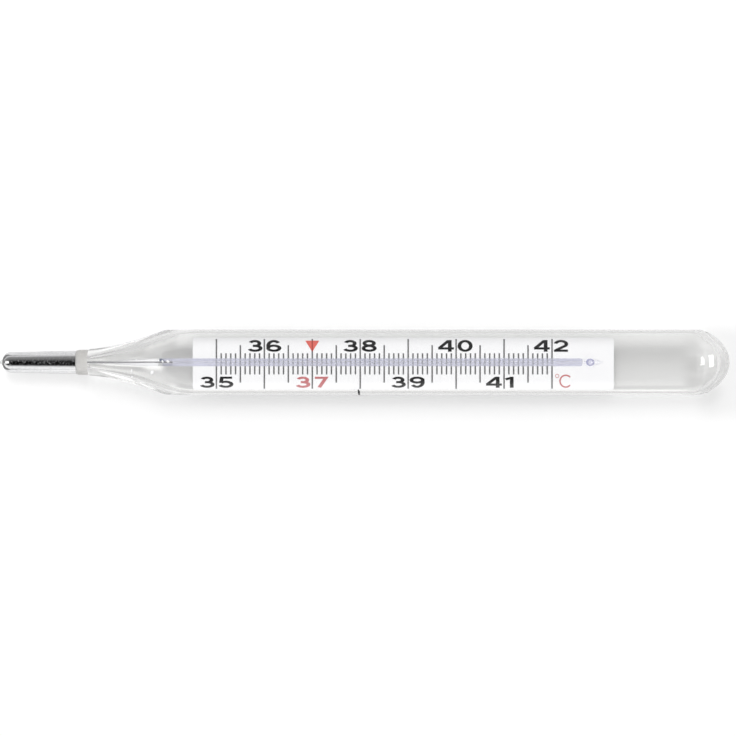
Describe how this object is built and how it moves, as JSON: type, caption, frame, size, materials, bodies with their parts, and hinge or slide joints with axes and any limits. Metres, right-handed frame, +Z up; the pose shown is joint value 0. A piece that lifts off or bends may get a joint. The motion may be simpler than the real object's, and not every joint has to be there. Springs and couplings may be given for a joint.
{
  "type": "clinical thermometer",
  "caption": "Flat glass clinical thermometer: tapered mercury bulb, fused collar, flared neck and oval sheath round a lens-front capillary on a scale plate; its mercury thread rises.",
  "frame": {"origin": "middle of the footprint, on the surface that the thermometer lies on", "axes": "+X along the length from the bulb to the domed end, +Y across the width, +Z up, out of the scale's face"},
  "size_m": [0.125, 0.0112, 0.0066],
  "materials": {
    "sheath_glass": "clear, fire polished",
    "frosted_glass": "frosted",
    "bulb_glass": "clear, thin walled",
    "mercury": "liquid mirror",
    "capillary_glass": "clear, lens front",
    "lilac_enamel": "translucent enamel",
    "opal_white": "satin white",
    "black_ink": "fired colour"
  },
  "bodies": {
    "glass": {"sheath": "sheath_glass", "weld_collar": "frosted_glass", "bulb_shell": "bulb_glass", "bulb_mercury": "mercury", "constriction_pin": "bulb_glass", "capillary": "capillary_glass", "enamel_strip": "lilac_enamel", "scale_plate": "opal_white", "graduation_lines": "black_ink"},
    "mercury_column": {"mercury_thread": "mercury", "mercury_meniscus": "mercury"}
  },
  "joints": [
    {"name": "mercury_rise", "type": "slide", "parent": "glass", "child": "mercury_column", "axis": [1, 0, 0], "range_m": [0, 0.06494], "deforming": ["mercury_thread"]}
  ]
}
